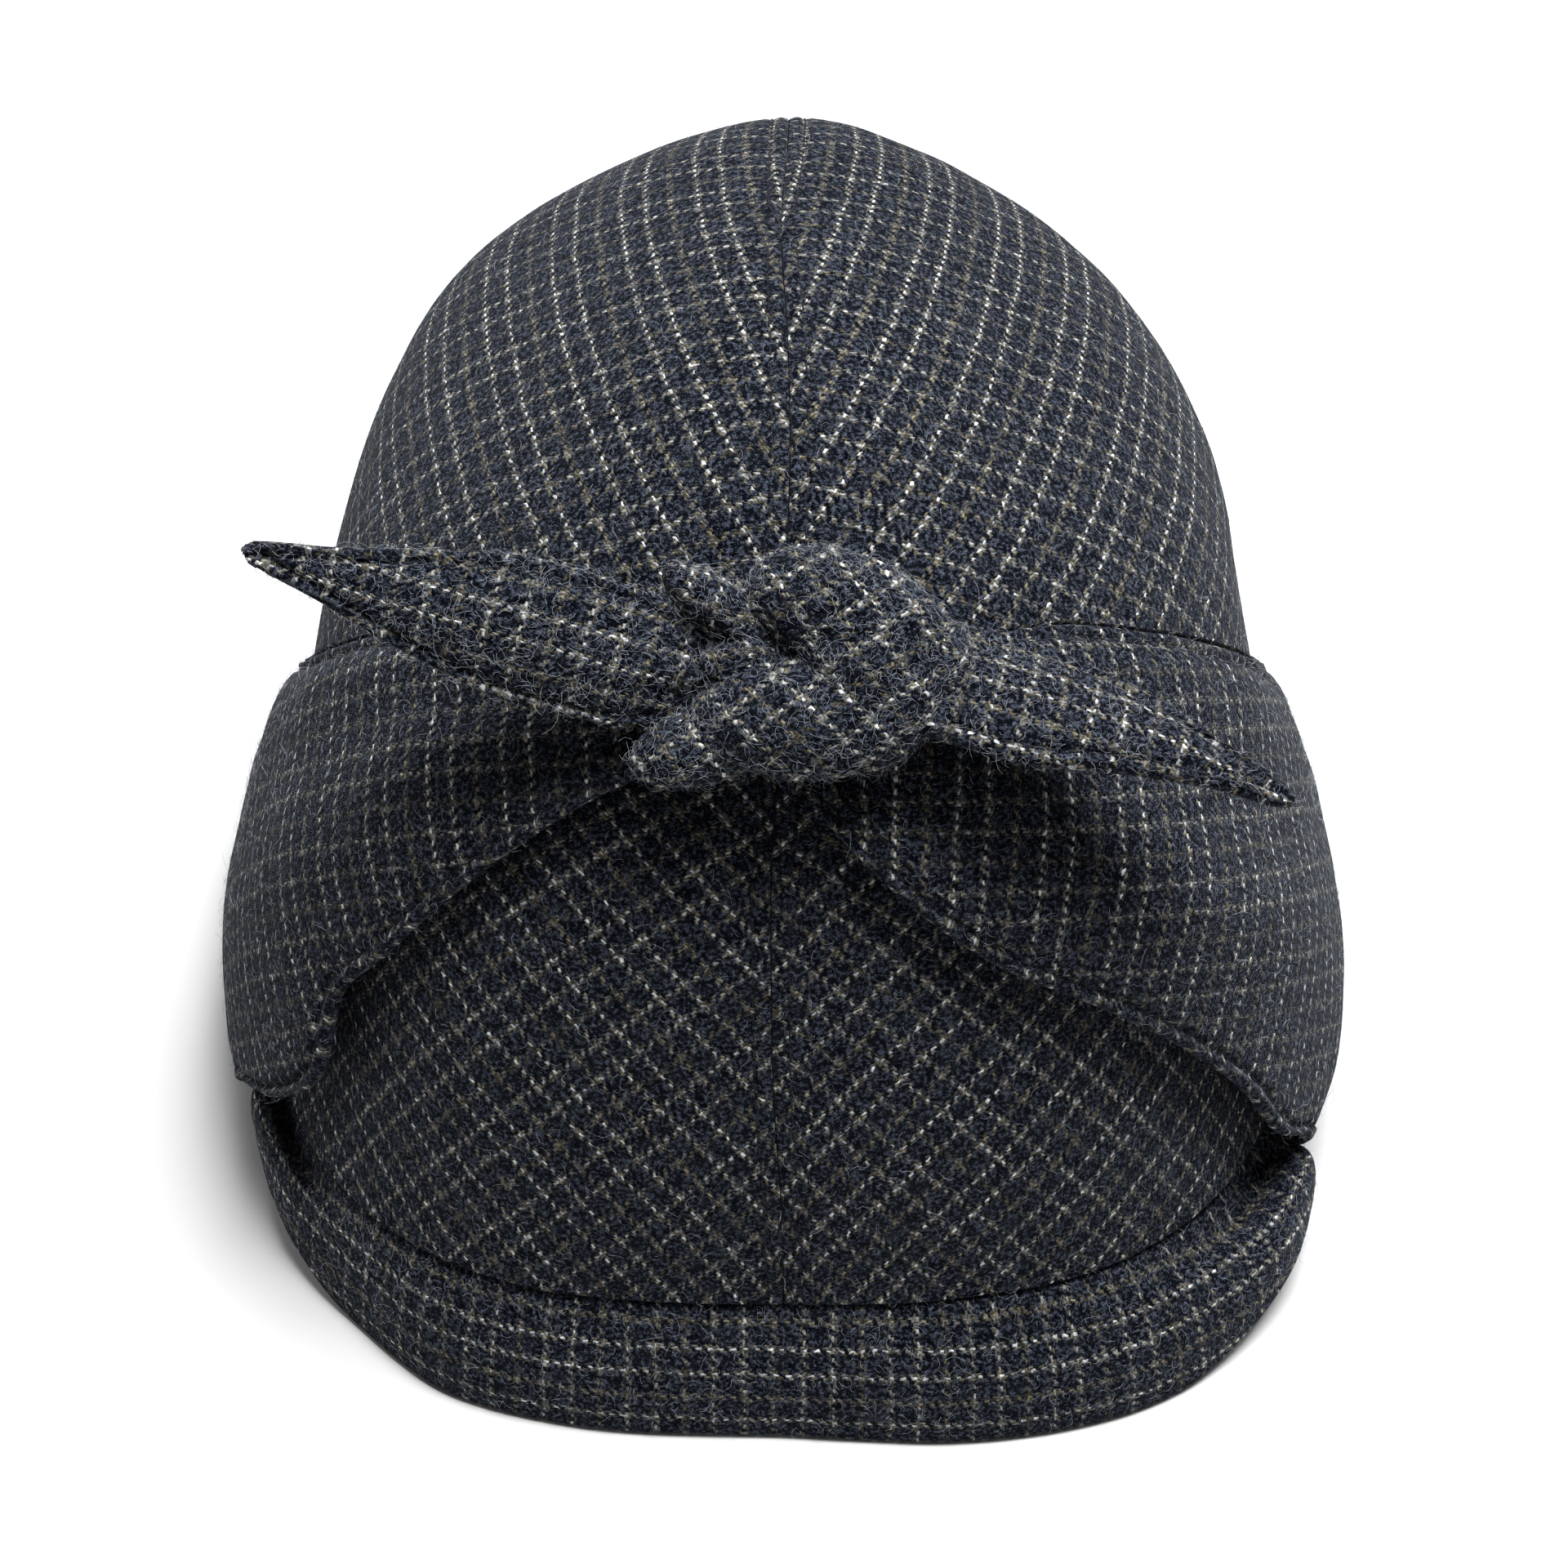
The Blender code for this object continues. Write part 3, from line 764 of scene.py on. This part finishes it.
def flap_surface(side, front_turn, table):
    """An ear flap's outside: u from its front edge to its back edge, v from rim to knot."""
    read = columns_of(table)

    def front(u, v):
        turn = front_turn + (FLAP_BACK_TURN - front_turn) * u
        if v < FLAP_ROLL_SHARE:
            if v < FLAP_ROOT_SHARE:
                stand, drop = -FLAP_TUCK, FLAP_ROOT * v / FLAP_ROOT_SHARE
            else:
                angle = pi * (v - FLAP_ROOT_SHARE) / (FLAP_ROLL_SHARE - FLAP_ROOT_SHARE)
                stand = FLAP_ROLL - FLAP_TUCK - FLAP_ROLL * cos(angle)
                drop = FLAP_ROOT + FLAP_ROLL * sin(angle)
            turn *= side
            return crown_point(turn, 0) + level_out(turn) * stand - UP * (SEAM_GAP + drop)
        along = (v - FLAP_ROLL_SHARE) / (1 - FLAP_ROLL_SHARE)
        low = front_turn * read["low_turn"](along)
        high = FLAP_BACK_TURN * read["high_turn"](along)
        start = -(FLAP_ROOT + SEAM_GAP) / CROWN_HEIGHT * (1 - along) ** FLAP_LIFT_EASE
        low_height = start + read["low_height"](along)
        high_height = start + read["high_height"](along)
        low_stand, high_stand = read["low_stand"](along), read["high_stand"](along)
        height = low_height + (high_height - low_height) * u
        stand = FLAP_STAND * (low_stand + (high_stand - low_stand) * u)
        stand += FLAP_BULGE * sin(pi * u) * sin(pi * along ** FLAP_BULGE_LEAN)
        stand += PLEAT_HEIGHT * along ** 3 * sin(PLEATS * pi * u)
        for fold in GATHERS:
            if fold.side == side:
                middle = fold.at_roll + (fold.at_knot - fold.at_roll) * along
                rise = fold.height * MM * sin(pi * along ** GATHER_EASE)
                stand += rise * groove(u, middle, fold.width)
        stand -= FLAP_EDGE_SINK * max(2 * u - 1, 0) ** 2 * sin(pi * along)
        return over_crown(side * (low + (high - low) * u), height, stand)

    return front


def make_flap(name, side, front_turn, table, cloth):
    """An ear flap of doubled cloth, topstitched along both edges."""
    front = flap_surface(side, front_turn, table)

    def crease(u, v, distances):
        near, far = distances[0] / MM, distances[1] / MM
        hems = sum(0.35 * groove(hem, 1.3, 0.9) - 0.70 * groove(hem, 2.7, 0.6)
                   for hem in (near, far))
        return hems - 1.5 * groove(far, 0.0, 5.0)

    lay = flatten(front, FLAP_PATTERN, (0.5, 0.27), (0.5, 0.5), FLAP_GRAIN + side * FLAP_GRAIN_LEAN)
    shape, paths = lay_cloth(front, (HEM, HEM, TUCKED, TUCKED), FLAP_GRID, FLAP_WALL * side, lay,
                             crease, wave=0.6)
    return finish_piece(name + "_cloth", shape, name, "flap_cloth", cloth), paths


def knot_frame():
    """The knot's middle and its own directions across, up and out."""
    flap_end = FLAP_STAND * RIGHT_FLAP[-1].low_stand
    middle = over_crown(KNOT_TURN, KNOT_LEVEL, flap_end - KNOT_SETTLE + KNOT_THICKNESS / 2)
    return (middle, *crown_frame(KNOT_TURN, KNOT_LEVEL))


def way_out(direction, middle, half):
    """How far out along a direction the surface of an ellipsoid lies, or 0 where it misses it."""
    ray = Vector([part / size for part, size in zip(direction, half)])
    centre = Vector([part / size for part, size in zip(middle, half)])
    inside = ray.dot(centre) ** 2 - ray.dot(ray) * (centre.dot(centre) - 1)
    return max((ray.dot(centre) + sqrt(inside)) / ray.dot(ray), 0.0) if inside > 0 else 0.0


def make_knot(name, cloth):
    """The knot: lobes of wound cloth, each with its own run of the grain."""
    middle, across, up, out = knot_frame()
    shape = bmesh.new()
    grain = shape.loops.layers.uv.new("grain")
    owner = shape.verts.layers.int.new("owner")
    bmesh.ops.create_uvsphere(shape, u_segments=KNOT_GRID[0], v_segments=KNOT_GRID[1], radius=1.0)
    bmesh.ops.rotate(shape, verts=shape.verts, cent=(0, 0, 0),
                     matrix=Matrix.Rotation(radians(90), 3, "Y"))
    settle_order(shape, 0)
    turns = [Matrix.Rotation(radians(-lobe.turn), 3, "Z") for lobe in KNOT_LOBES]
    for vert in shape.verts:
        direction = vert.co.normalized()
        farthest, total = 0.0, 0.0
        for k, (lobe, turn) in enumerate(zip(KNOT_LOBES, turns)):
            radius = way_out(turn @ direction, turn @ Vector(lobe.middle), lobe.half)
            if radius > 0:
                total += exp(radius * LOBE_BLEND)
            if radius > farthest:
                farthest, vert[owner] = radius, k
        vert.co = direction * log(total) / LOBE_BLEND
    for face in shape.faces:
        votes = [loop.vert[owner] for loop in face.loops]
        turn = radians(KNOT_LOBES[max(votes, key=votes.count)].grain)
        for loop in face.loops:
            x, y = loop.vert.co.x, loop.vert.co.y * KNOT_SLOPE_STRETCH
            loop[grain].uv = (
                (x * cos(turn) + y * sin(turn)) * MM / CHECK + 0.1 * max(votes),
                (y * cos(turn) - x * sin(turn)) * MM / CHECK + 0.07 * max(votes),
            )
    for vert in shape.verts:
        bump = 0.5 * noise.noise(vert.co * 0.16) + 0.16 * noise.noise(vert.co * 0.5)
        for pinch in KNOT_PINCHES:
            x, y = vert.co.x - pinch.across, vert.co.y - pinch.up
            away = hypot(x, y)
            folds = sin(pinch.gathers * (atan2(y, x) + PINCH_CURL * away))
            if vert.co.z > 0:
                bump += pinch.depth * folds * exp(-away / PINCH_REACH) * min(away / 2, 1)
        place = vert.co * (1 + bump / max(vert.co.length, 4))
        vert.co = middle + (across * place.x + up * place.y + out * place.z) * MM
    shape.normal_update()
    bmesh.ops.recalc_face_normals(shape, faces=shape.faces)
    return finish_piece(name + "_cloth", shape, name, "tie_cloth", cloth)


def make_tail(tail, cloth):
    """A pointed end of a tie, doubled and topstitched round its edges."""
    middle, across, up, out = knot_frame()
    rise, twist = radians(tail.rise), radians(tail.twist)
    along = across * cos(rise) + up * sin(rise)
    level = (up * cos(rise) - across * sin(rise)) * (1 if cos(rise) > 0 else -1)
    wide = level * cos(twist) + out * sin(twist)
    bent = out * cos(twist) - level * sin(twist)
    root = middle + (
        across * tail.place[0] * KNOT_WIDTH
        + up * tail.place[1] * KNOT_DEPTH
        + out * tail.place[2] * KNOT_THICKNESS
    ) / 2
    tip = TAIL_LENGTH * (1 - tail.wound) + TAIL_TIP

    def run_and_share(v):
        run = (tip + tail.inside) * v - tail.inside
        return run, tail.wound + (1 - tail.wound) * max(run, 0.0) / tip

    def front(u, v):
        run, share = run_and_share(v)
        hidden = min(run, 0.0)
        width = TAIL_WIDTH * LEAF_WIDTH(share) + hidden * 0.9
        bow = TAIL_CUP * (2 * u - 1) ** 2 * width / TAIL_WIDTH
        bend = TAIL_BEND * LEAF_BEND(share) - bow + hidden * 0.25
        return root + wide * width * (u - 0.5) + bent * bend + along * run

    def lay(u, v):
        run, share = run_and_share(v)
        width = TAIL_WIDTH * TAIL_CUP_STRETCH * LEAF_WIDTH(share)
        return Vector(((u - 0.5) * width + 2 * MM, run + 3 * MM))

    def crease(u, v, distances):
        near, far = distances[0] / MM, distances[1] / MM
        fold = 0.9 * sin(PLEATS * pi * u) * max(1 - 4 * v, 0)
        return fold + sum(0.35 * groove(hem, 1.4, 0.8) - 0.75 * groove(hem, 2.7, 0.5)
                          for hem in (near, far))

    flip = -1 if cos(rise) > 0 else 1
    shape, paths = lay_cloth(front, (HEM, HEM, TUCKED, PLAIN), TAIL_GRID, flip * TAIL_WALL, lay,
                             crease, wave=0.35)
    name = "tie_tail_" + tail.side
    return finish_piece(name + "_cloth", shape, name, "tie_cloth", cloth), paths


class Nodes:
    """A short way to write a material's sums."""

    def __init__(self, name):
        self.material = bpy.data.materials.new(name)
        self.material.use_nodes = True
        self.tree = self.material.node_tree
        self.surface = self.tree.nodes["Principled BSDF"]

    def add(self, kind, **inputs):
        node = self.tree.nodes.new(kind)
        for key, value in inputs.items():
            self.feed(node.inputs[key.replace("_", " ")], value)
        return node

    def feed(self, socket, value):
        if isinstance(value, bpy.types.NodeSocket):
            self.tree.links.new(value, socket)
        else:
            socket.default_value = value

    def sum(self, operation, *values, kind="ShaderNodeMath"):
        node = self.tree.nodes.new(kind)
        node.operation = operation
        for socket, value in zip(node.inputs, values):
            self.feed(socket, value)
        return node.outputs[0]

    def noise(self, place, scale, detail, output="Fac", **inputs):
        node = self.add("ShaderNodeTexNoise", Vector=place, Scale=scale, Detail=detail, **inputs)
        return node.outputs[output]

    def spread(self, value, low, high):
        """How far a value has come from low to high, from 0 to 1."""
        node = self.add("ShaderNodeMapRange", Value=value, From_Min=low, From_Max=high)
        return node.outputs[0]

    def blend(self, share, first, second):
        node = self.tree.nodes.new("ShaderNodeMix")
        node.data_type = "RGBA"
        self.feed(node.inputs[0], share)
        for socket, value in zip(node.inputs[6:8], (first, second)):
            self.feed(socket, (*value, 1.0) if isinstance(value, tuple) else value)
        return node.outputs[2]


def check_cloth(name, weft=0.7):
    """Dark navy wool with a fine light check, in twill, softly milled.

    weft is how strongly the light yarns across show, where those along are 1.
    """
    n = Nodes(name)
    grain = n.add("ShaderNodeUVMap")
    grain.uv_map = "grain"
    solid = n.add("ShaderNodeTexCoord").outputs["Object"]
    moved = grain.outputs["UV"]
    for scale, detail, size in ((130.0, 1.0, 0.05), (1000.0, 2.0, 0.07)):
        offset = n.noise(solid, scale, detail, "Color")
        centred = n.sum("SUBTRACT", offset, (0.5, 0.5, 0.5), kind="ShaderNodeVectorMath")
        moved = n.sum("MULTIPLY_ADD", centred, (size, size, 0), moved, kind="ShaderNodeVectorMath")
    parts = n.add("ShaderNodeSeparateXYZ", Vector=moved)

    # Where the place lies on its own warp yarn and weft yarn, and how light each of them is
    at, yarn, tone, core = [], [], [], []
    for k, weight in ((0, 1.0), (1, weft)):
        at.append(n.sum("MULTIPLY", parts.outputs[k], float(YARNS_PER_CHECK)))
        yarn.append(n.sum("FLOOR", at[k]))
        in_line = n.sum("FLOORED_MODULO", yarn[k], float(YARNS_PER_LINE))
        middle = n.sum("COMPARE", in_line, 1.0, 0.5)
        sides = n.sum("MULTIPLY", n.sum("LESS_THAN", in_line, 2.5), 0.5)
        lit = n.sum("MULTIPLY_ADD", middle, 0.5, sides)
        in_check = n.sum("FLOORED_MODULO", yarn[k], float(YARNS_PER_CHECK))
        faint = n.sum("GREATER_THAN", in_check, 19.5)
        strength = n.sum("MULTIPLY_ADD", faint, -0.32 * weight, weight)
        tone.append(n.sum("MULTIPLY", lit, strength))
        core.append(n.sum("MULTIPLY", middle, n.sum("MULTIPLY_ADD", faint, -weight, weight)))

    # Twill: two yarns over, two under, each float a short rounded dash of its own brightness, dimmer
    # toward its ends as painted shade where the yarn dips under
    both = n.sum("ADD", yarn[0], yarn[1])
    over = n.sum("LESS_THAN", n.sum("FLOORED_MODULO", both, 4.0), 1.5)
    under = n.sum("SUBTRACT", 1.0, over)

    def top(pair):
        return n.sum("ADD", n.sum("MULTIPLY", pair[0], over), n.sum("MULTIPLY", pair[1], under))

    def hump(place):
        centred = n.sum("MULTIPLY_ADD", place, 2.0, -1.0)
        return n.sum("SUBTRACT", 1.0, n.sum("MULTIPLY", centred, centred))

    light_yarn, white_yarn = top(tone), top(core)
    profile = hump(top([n.sum("FRACT", value) for value in at]))
    floats = [n.sum("FRACT", n.sum("MULTIPLY", n.sum("ADD", at[1 - k], yarn[k]), 0.5))
              for k in (0, 1)]
    dash = hump(top(floats))
    group = n.sum("FLOOR", n.sum("MULTIPLY", both, 0.25))
    number = n.add("ShaderNodeCombineXYZ", X=top(yarn), Y=group, Z=over)
    luck = n.add("ShaderNodeTexWhiteNoise", Vector=number.outputs[0]).outputs["Value"]

    # Single fibres of the ground, patches where the cloth is felted, and the light yarns
    fleck = n.noise(solid, 1500.0, 3.0, Roughness=0.7)
    patch = n.noise(solid, 330.0, 3.0, Roughness=0.6)
    fibre, felt = n.spread(fleck, 0.47, 0.66), n.spread(patch, 0.38, 0.72)
    ground = n.blend(fibre, NAVY, SLATE)
    ground = n.blend(n.sum("MULTIPLY", felt, 0.22), ground, FELTED)
    yarn_colour = n.blend(white_yarn, BUFF, WHITE)
    seen = n.sum("MULTIPLY", light_yarn, n.sum("MULTIPLY_ADD", luck, 0.95, 0.40))
    # Partly the floats' own dashes and partly painted shade: each light float is dimmed toward its
    # ends by its rounded hump
    seen = n.sum("MULTIPLY", seen, n.sum("MULTIPLY_ADD", dash, 0.6, 0.4))
    seen = n.sum("MULTIPLY", seen, n.sum("MULTIPLY_ADD", felt, -0.45, 1.0))
    seen = n.sum("MULTIPLY", seen, n.sum("MULTIPLY_ADD", fibre, 0.7, 0.55))
    colour = n.blend(n.sum("MINIMUM", seen, 1.0), ground, yarn_colour)
    # Painted shade of the twill's relief: each yarn darkens by its rounded profile toward its edges,
    # to near black between yarns
    shade = n.sum("MULTIPLY_ADD", profile, 0.4, 0.6)
    n.feed(n.surface.inputs["Base Color"], n.blend(shade, SHADE_BETWEEN_YARNS, colour))
    n.surface.inputs["Roughness"].default_value = 0.95
    n.surface.inputs["Specular IOR Level"].default_value = 0.06
    n.surface.inputs["Sheen Weight"].default_value = 0.08
    n.surface.inputs["Sheen Roughness"].default_value = 0.4
    n.surface.inputs["Sheen Tint"].default_value = (*SHEEN, 1.0)
    weave = n.sum("MULTIPLY", n.sum("MULTIPLY", profile, dash), 0.6)
    height = n.sum("ADD", weave, n.sum("MULTIPLY", fleck, 1.2))
    bump = n.add("ShaderNodeBump", Strength=0.7, Distance=0.4 * MM, Height=height)
    n.feed(n.surface.inputs["Normal"], bump.outputs[0])
    return n.material


def thread_material(name, colour, roughness):
    """Plain spun thread or fibre, varied a little along its length."""
    n = Nodes(name)
    solid = n.add("ShaderNodeTexCoord").outputs["Object"]
    fleck = n.noise(solid, 1500.0, 1.0)
    darker = tuple(part * 0.45 for part in colour)
    n.feed(n.surface.inputs["Base Color"], n.blend(fleck, darker, colour))
    n.surface.inputs["Roughness"].default_value = roughness
    n.surface.inputs["Specular IOR Level"].default_value = 0.2
    return n.material


def set_studio():
    """A plain pale floor under soft, even light, brighter along the sides."""
    shape = bmesh.new()
    bmesh.ops.create_circle(shape, cap_ends=True, segments=128, radius=FLOOR_RADIUS)
    mesh = bpy.data.meshes.new("floor")
    shape.to_mesh(mesh)
    shape.free()
    floor = bpy.data.objects.new("floor", mesh)
    n = Nodes("floor_paper")
    solid = n.add("ShaderNodeTexCoord").outputs["Object"]
    tone = n.noise(solid, 3.0, 1.0)
    n.feed(n.surface.inputs["Base Color"], n.blend(tone, (0.68, 0.68, 0.68), (0.71, 0.71, 0.71)))
    n.surface.inputs["Roughness"].default_value = 0.9
    mesh.materials.append(n.material)
    bpy.context.collection.objects.link(floor)
    world = bpy.data.worlds.new("studio")
    bpy.context.scene.world = world
    world.use_nodes = True
    sky = world.node_tree.nodes["Background"]
    seen = world.node_tree.nodes.new("ShaderNodeLightPath").outputs["Is Camera Ray"]
    strength = world.node_tree.nodes.new("ShaderNodeMapRange")
    strength.inputs["To Min"].default_value = LIGHT_ALL_ROUND
    strength.inputs["To Max"].default_value = BACKDROP
    world.node_tree.links.new(seen, strength.inputs["Value"])
    world.node_tree.links.new(strength.outputs[0], sky.inputs["Strength"])
    sky.inputs["Color"].default_value = (1.0, 1.0, 1.0, 1.0)
    for lamp in LAMPS:
        data = bpy.data.lights.new(lamp.name, "AREA")
        data.shape, data.size, data.energy = "SQUARE", LAMP_SIZE, lamp.power
        light = bpy.data.objects.new(lamp.name, data)
        light.location = lamp.place
        back = Vector(lamp.place) - Vector(LAMPS_AIM)
        light.rotation_euler = back.to_track_quat("Z", "Y").to_euler()
        bpy.context.collection.objects.link(light)
    bpy.context.scene.view_settings.view_transform = "Standard"
    bpy.context.scene.view_settings.look = "Medium High Contrast"


def main():
    aim_camera()
    set_studio()
    crown_cloth = check_cloth("crown_check")
    bill_cloth = check_cloth("bill_check")
    flap_cloth = check_cloth("flap_check", weft=0.5)
    tie_cloth = check_cloth("tie_check", weft=0.85)
    thread = thread_material("navy_thread", THREAD, 0.7)
    fibre = thread_material("grey_fibre", FIBRE, 0.8)
    crown_left, seam_left = make_crown_half("crown_left", -1, crown_cloth)
    crown_right, seam_right = make_crown_half("crown_right", 1, crown_cloth)
    front_bill = make_bill("front_bill", FRONT_BILL, BILL_REACH, -LEFT_FLAP_TURN,
                           RIGHT_FLAP_TURN, bill_cloth)
    back_bill = make_bill("back_bill", BACK_BILL, BACK_BILL_REACH, FLAP_BACK_TURN,
                          2 * HALF_TURN - FLAP_BACK_TURN, bill_cloth)
    flap_left, edge_left = make_flap("ear_flap_left", -1, LEFT_FLAP_TURN, LEFT_FLAP, flap_cloth)
    flap_right, edge_right = make_flap("ear_flap_right", 1, RIGHT_FLAP_TURN, RIGHT_FLAP, flap_cloth)
    knot = make_knot("tie_knot", tie_cloth)
    tail_left, hem_left = make_tail(TAILS[0], tie_cloth)
    tail_right, hem_right = make_tail(TAILS[1], tie_cloth)
    for name, rows, slot in (
        ("crown_stitches", (seam_left, seam_right), "crown_cloth"),
        ("flap_stitches", (edge_left, edge_right), "flap_cloth"),
        ("tail_stitches", (hem_left, hem_right), "tie_cloth"),
    ):
        paths = [row[key] for row in rows for key in ("first", "last")]
        tubes(name, stitches(paths), STITCH_THICKNESS, 1, thread, slot)
    for slot, pieces in (
        ("crown_cloth", (crown_left, crown_right)),
        ("bill_cloth", (front_bill, back_bill)),
        ("flap_cloth", (flap_left, flap_right)),
        ("tie_cloth", (knot, tail_left, tail_right)),
    ):
        for piece in pieces:
            name = piece.name.removesuffix("_cloth")
            fuzz = fibres(piece, FIBRES[name])
            tubes(name + "_fibres", fuzz, FIBRE_THICKNESS, 0, fibre, slot)


main()
